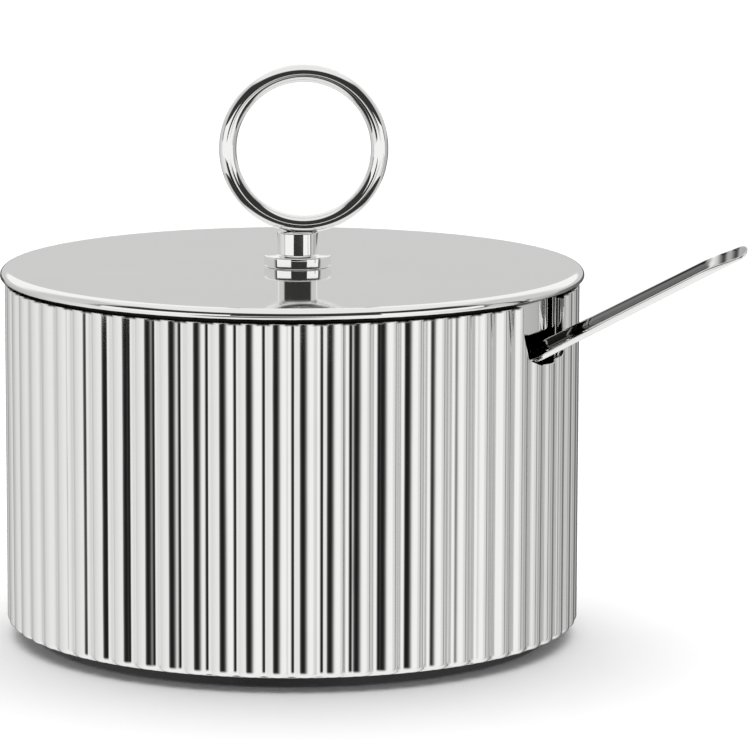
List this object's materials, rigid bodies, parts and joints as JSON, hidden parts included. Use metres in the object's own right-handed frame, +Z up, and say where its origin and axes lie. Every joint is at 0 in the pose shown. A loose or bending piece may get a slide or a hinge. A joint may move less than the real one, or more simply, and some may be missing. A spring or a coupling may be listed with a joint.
{
  "type": "sugar bowl",
  "caption": "Reeded cylindrical sugar bowl on a recessed foot, with a flat lift-off lid, a ring knob and a spoon whose handle leaves through a notch in the wall.",
  "frame": {"origin": "centre of the foot's underside, on the table", "axes": "+Z up along the bowl's axis; -Y is the side the ring knob faces; +X towards the side with the spoon's handle"},
  "size_m": [0.1135, 0.0914, 0.09],
  "materials": {
    "silver": "mirror-polished silver plate",
    "steel": "plain turned",
    "foot": "matt, finely grained"
  },
  "bodies": {
    "bowl": {"outer_sleeve": "silver", "liner_cup": "silver", "base_plate": "steel", "foot_pad": "foot"},
    "lid": {"lid_plate": "silver", "lid_skirt": "silver", "knob_post": "silver", "knob_ring": "silver", "knob_screw": "steel", "screw_washer": "steel"},
    "spoon": {"spoon": "silver"}
  },
  "joints": [
    {"name": "lid_lift", "type": "slide", "parent": "bowl", "child": "lid", "axis": [0, 0, 1], "range_m": [0, 0.14]},
    {"name": "spoon_lift", "type": "slide", "parent": "bowl", "child": "spoon", "axis": [0, 0, 1], "range_m": [0, 0.07]}
  ],
  "couplings": [
    {"joint": "spoon_lift", "follows": "lid_lift", "ratio": 0.5}
  ]
}
